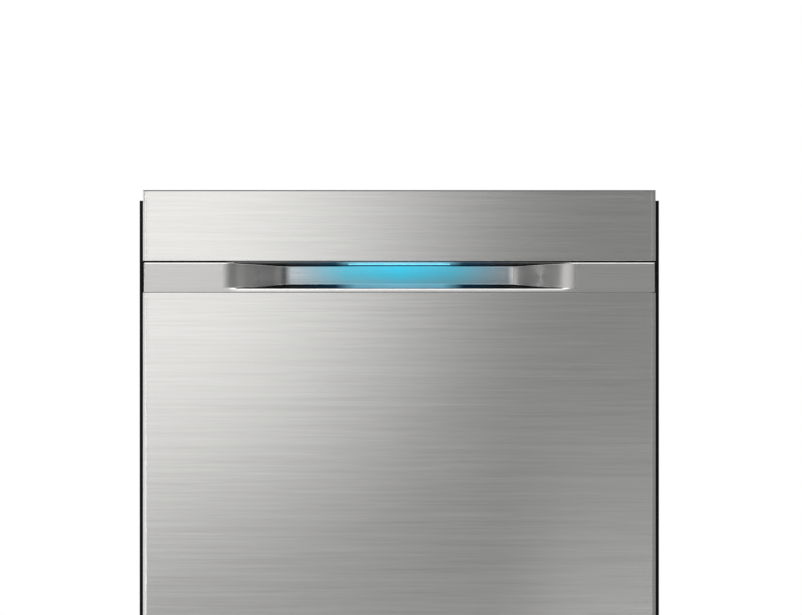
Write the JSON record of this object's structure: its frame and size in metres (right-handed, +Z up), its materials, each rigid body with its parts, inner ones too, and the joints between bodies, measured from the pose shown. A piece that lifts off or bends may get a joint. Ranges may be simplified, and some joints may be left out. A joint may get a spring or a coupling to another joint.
{
  "type": "undercounter dishwasher",
  "caption": "Built-in dishwasher with a drop-down stainless door, lit pocket handle, wire racks on rails, spray arms, sump with pumps, and levelling legs.",
  "frame": {"origin": "on the floor under the middle of the machine", "axes": "+Z up, +X to the right seen from the front, +Y from the door to the back"},
  "size_m": [0.606, 0.629, 0.86],
  "materials": {
    "stainless_skin": "brushed stainless sheet, grain across the door",
    "tub_stainless": "plain rolled stainless sheet",
    "galvanised": "zinc coated steel sheet",
    "black_paint": "satin black powder coat",
    "black_rubber": "moulded rubber",
    "blanket_felt": "pressed fibre felt",
    "white_plastic": "moulded polypropylene",
    "grey_plastic": "moulded polypropylene",
    "dark_plastic": "moulded glass-filled nylon",
    "motor_steel": "drawn steel can",
    "wire_coating": "nylon coated steel wire",
    "mesh_steel": "perforated stainless sheet",
    "spring_steel": "drawn spring wire",
    "lens_blue": "clear lens lit blue",
    "dark_glass": "smoked gloss window",
    "fascia_coating": "dark grey satin",
    "steel_zinc": "zinc plated steel"
  },
  "bodies": {
    "cabinet": {"tub_wrap": "tub_stainless", "tub_back": "tub_stainless", "tub_floor": "tub_stainless", "front_frame": "black_paint", "door_gasket": "black_rubber", "bottom_seal": "black_rubber", "insulation_blanket": "blanket_felt", "air_break": "white_plastic", "base_frame": "galvanised", "toe_kick": "black_paint", "worktop_brackets": "galvanised", "strike_plate": "steel_zinc", "sump": "dark_plastic", "filter_plate": "mesh_steel", "wash_motor": "motor_steel", "drain_pump": "dark_plastic", "water_heater": "motor_steel", "feed_tube": "grey_plastic", "inlet_valve": "white_plastic", "junction_box": "galvanised", "tub_rails": "grey_plastic", "door_springs": "spring_steel"},
    "door": {"door_panel": "stainless_skin", "door_fascia": "stainless_skin", "handle_band": "stainless_skin", "handle_light": "lens_blue", "door_liner": "tub_stainless", "hinge_arms": "galvanised", "control_strip": "fascia_coating", "display_window": "dark_glass", "latch_housing": "dark_plastic", "dispenser_body": "grey_plastic"},
    "lower_rack": {"lower_rack": "wire_coating", "silverware_basket": "grey_plastic"},
    "upper_rack": {"upper_rack": "wire_coating", "upper_arm_duct": "grey_plastic"},
    "leg_front_left": {"leg_front_left": "steel_zinc"},
    "leg_front_right": {"leg_front_right": "steel_zinc"},
    "leg_rear_left": {"leg_rear_left": "steel_zinc"},
    "leg_rear_right": {"leg_rear_right": "steel_zinc"},
    "filter_cup": {"filter_cup": "grey_plastic"},
    "wash_impeller": {"wash_impeller": "dark_plastic"},
    "drain_impeller": {"drain_impeller": "white_plastic"},
    "float_cap": {"float_cap": "grey_plastic"},
    "upper_rails": {"upper_rails": "tub_stainless"},
    "button_power": {"button_power": "dark_plastic"},
    "button_cycle": {"button_cycle": "dark_plastic"},
    "button_option": {"button_option": "dark_plastic"},
    "button_start": {"button_start": "dark_plastic"},
    "latch_lever": {"latch_lever": "white_plastic"},
    "dispenser_lid": {"dispenser_lid": "grey_plastic"},
    "rinse_cap": {"rinse_cap": "grey_plastic"},
    "lower_spray_arm": {"lower_spray_arm": "grey_plastic"},
    "upper_spray_arm": {"upper_spray_arm": "grey_plastic"},
    "top_spray_arm": {"top_spray_arm": "grey_plastic"},
    "front_wheels": {"front_wheels": "grey_plastic"},
    "rear_wheels": {"rear_wheels": "grey_plastic"},
    "tine_row": {"tine_row": "wire_coating"},
    "cup_shelf": {"cup_shelf": "wire_coating"},
    "cutlery_tray": {"cutlery_tray": "wire_coating"}
  },
  "joints": [
    {"name": "door_hinge", "type": "hinge", "parent": "cabinet", "child": "door", "pos_m": [0, -0.265, 0.1], "axis": [1, 0, 0], "range_deg": [0, 90], "stiffness_Nm_per_rad": 41, "springref_deg": -10.89, "deforming": ["door_springs"]},
    {"name": "upper_rack_slide", "type": "slide", "parent": "cabinet", "child": "upper_rack", "axis": [0, -1, 0], "range_m": [0, 0.4713]},
    {"name": "upper_rails_slide", "type": "slide", "parent": "cabinet", "child": "upper_rails", "axis": [0, -1, 0], "range_m": [0, 0.2357]},
    {"name": "cutlery_tray_slide", "type": "slide", "parent": "cabinet", "child": "cutlery_tray", "axis": [0, -1, 0], "range_m": [0, 0.2985]},
    {"name": "lower_rack_roll", "type": "slide", "parent": "cabinet", "child": "lower_rack", "axis": [0, -1, 0], "range_m": [0, 0.1001]},
    {"name": "front_wheels_spin", "type": "hinge", "parent": "lower_rack", "child": "front_wheels", "pos_m": [0, -0.125, 0.1393], "axis": [1, 0, 0], "range_deg": [0, 303]},
    {"name": "rear_wheels_spin", "type": "hinge", "parent": "lower_rack", "child": "rear_wheels", "pos_m": [0, 0.165, 0.1393], "axis": [1, 0, 0], "range_deg": [0, 303]},
    {"name": "lower_arm_spin", "type": "hinge", "parent": "cabinet", "child": "lower_spray_arm", "pos_m": [0, 0.02, 0.118], "axis": [0, 0, 1], "continuous": true},
    {"name": "upper_arm_spin", "type": "hinge", "parent": "upper_rack", "child": "upper_spray_arm", "pos_m": [0, 0.02, 0.4379], "axis": [0, 0, 1], "continuous": true},
    {"name": "top_arm_spin", "type": "hinge", "parent": "cabinet", "child": "top_spray_arm", "pos_m": [0, 0.02, 0.7904], "axis": [0, 0, 1], "continuous": true},
    {"name": "wash_impeller_spin", "type": "hinge", "parent": "cabinet", "child": "wash_impeller", "pos_m": [-0.098, 0.02, 0.068], "axis": [1, 0, 0], "continuous": true},
    {"name": "drain_impeller_spin", "type": "hinge", "parent": "cabinet", "child": "drain_impeller", "pos_m": [0.166, 0.062, 0.068], "axis": [1, 0, 0], "continuous": true},
    {"name": "filter_cup_twist", "type": "hinge", "parent": "cabinet", "child": "filter_cup", "pos_m": [0.098, 0.062, 0.105], "axis": [0, 0, 1], "range_deg": [0, 45]},
    {"name": "float_rise", "type": "slide", "parent": "cabinet", "child": "float_cap", "axis": [0, 0, 1], "range_m": [0, 0.008]},
    {"name": "latch_lever_lift", "type": "hinge", "parent": "door", "child": "latch_lever", "pos_m": [0, -0.2862, 0.8522], "axis": [1, 0, 0], "range_deg": [0, 5], "stiffness_Nm_per_rad": 0.2, "springref_deg": -5.73},
    {"name": "dispenser_lid_slide", "type": "slide", "parent": "door", "child": "dispenser_lid", "axis": [1, 0, 0], "range_m": [0, 0.086]},
    {"name": "rinse_cap_twist", "type": "hinge", "parent": "door", "child": "rinse_cap", "pos_m": [0.062, -0.241, 0.437], "axis": [0, 1, 0], "range_deg": [0, 90]},
    {"name": "tine_row_fold", "type": "hinge", "parent": "lower_rack", "child": "tine_row", "pos_m": [0, 0.14633, 0.1707], "axis": [-1, 0, 0], "range_deg": [0, 80]},
    {"name": "cup_shelf_fold", "type": "hinge", "parent": "upper_rack", "child": "cup_shelf", "pos_m": [-0.236, 0, 0.59], "axis": [0, -1, 0], "range_deg": [0, 90]},
    {"name": "leg_front_left_screw", "type": "slide", "parent": "cabinet", "child": "leg_front_left", "axis": [0, 0, -1], "range_m": [0, 0.025]},
    {"name": "leg_front_right_screw", "type": "slide", "parent": "cabinet", "child": "leg_front_right", "axis": [0, 0, -1], "range_m": [0, 0.025]},
    {"name": "leg_rear_left_screw", "type": "slide", "parent": "cabinet", "child": "leg_rear_left", "axis": [0, 0, -1], "range_m": [0, 0.025]},
    {"name": "leg_rear_right_screw", "type": "slide", "parent": "cabinet", "child": "leg_rear_right", "axis": [0, 0, -1], "range_m": [0, 0.025]},
    {"name": "button_power_press", "type": "slide", "parent": "door", "child": "button_power", "axis": [0, 0, -1], "range_m": [0, 0.0012], "stiffness_N_per_m": 300},
    {"name": "button_cycle_press", "type": "slide", "parent": "door", "child": "button_cycle", "axis": [0, 0, -1], "range_m": [0, 0.0012], "stiffness_N_per_m": 300},
    {"name": "button_option_press", "type": "slide", "parent": "door", "child": "button_option", "axis": [0, 0, -1], "range_m": [0, 0.0012], "stiffness_N_per_m": 300},
    {"name": "button_start_press", "type": "slide", "parent": "door", "child": "button_start", "axis": [0, 0, -1], "range_m": [0, 0.0012], "stiffness_N_per_m": 300}
  ],
  "couplings": [
    {"joint": "upper_rack_slide", "follows": "door_hinge", "m_per_rad": 0.3},
    {"joint": "upper_rails_slide", "follows": "door_hinge", "m_per_rad": 0.15},
    {"joint": "cutlery_tray_slide", "follows": "door_hinge", "m_per_rad": 0.19},
    {"joint": "lower_rack_roll", "follows": "door_hinge", "m_per_rad": 0.0637},
    {"joint": "front_wheels_spin", "follows": "door_hinge", "ratio": 3.3526},
    {"joint": "rear_wheels_spin", "follows": "door_hinge", "ratio": 3.3526}
  ]
}
